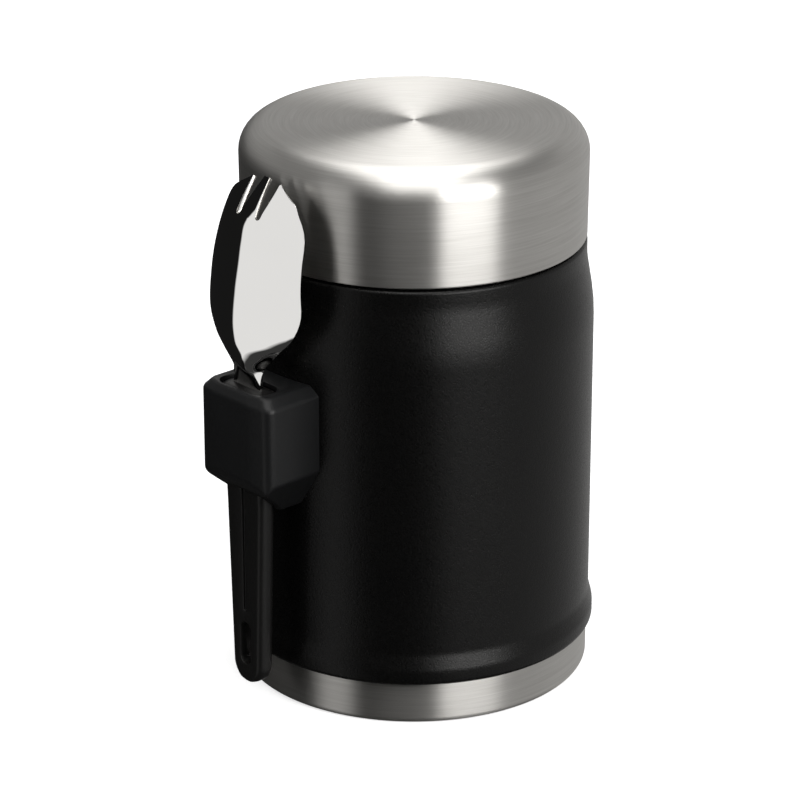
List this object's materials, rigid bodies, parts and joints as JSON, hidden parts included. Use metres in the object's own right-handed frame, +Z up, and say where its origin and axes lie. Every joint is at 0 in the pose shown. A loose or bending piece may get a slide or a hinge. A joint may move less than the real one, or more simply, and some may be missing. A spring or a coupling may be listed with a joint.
{
  "type": "insulated food jar",
  "caption": "Vacuum-insulated food jar with a screw-on steel lid and a spork carried in a holder on its side.",
  "frame": {"origin": "on the jar's axis, in the plane that the jar stands on", "axes": "+Z up along the jar's axis; the spork holder is on the -Y side"},
  "size_m": [0.0968, 0.1116, 0.15],
  "materials": {
    "black_powder_coat": "satin black powder coat with a fine speckle",
    "brushed_steel": "brushed round the axis",
    "polished_steel": "smooth drawn steel",
    "mirror_steel": "mirror-polished steel",
    "bright_foil": "bright foil",
    "grey_pellet": "pressed powder",
    "seal_glass": "fused solder glass",
    "black_plastic": "fine moulded texture",
    "handle_plastic": "fine moulded texture",
    "soft_silicone": "matte silicone",
    "white_foam": "beaded foam"
  },
  "bodies": {
    "jar": {"outer_shell": "black_powder_coat", "inner_liner": "polished_steel", "radiation_foil": "bright_foil", "vacuum_disc": "polished_steel", "getter": "grey_pellet", "getter_clip": "polished_steel", "vacuum_seal": "seal_glass", "base_cup": "brushed_steel", "holder_bracket": "polished_steel", "holder_nuts": "polished_steel", "holder_screws": "polished_steel", "holder_body": "black_plastic"},
    "seal": {"lid_gasket": "soft_silicone"},
    "lid": {"lid_cap": "brushed_steel", "lid_collar": "black_plastic", "lid_plug": "black_plastic", "lid_foam": "white_foam"},
    "spork": {"spork_blade": "mirror_steel", "spork_handle": "handle_plastic"}
  },
  "joints": [
    {"name": "lid_rise", "type": "slide", "parent": "jar", "child": "seal", "axis": [0, 0, 1], "range_m": [0, 0.025]},
    {"name": "lid_turn", "type": "hinge", "parent": "seal", "child": "lid", "pos_m": [0, 0, 0.12], "axis": [0, 0, 1], "range_deg": [0, 900]},
    {"name": "spork_slide", "type": "slide", "parent": "jar", "child": "spork", "axis": [0, 0, 1], "range_m": [0, 0.09]}
  ],
  "couplings": [
    {"joint": "lid_rise", "follows": "lid_turn", "m_per_rad": 0.0015915}
  ]
}
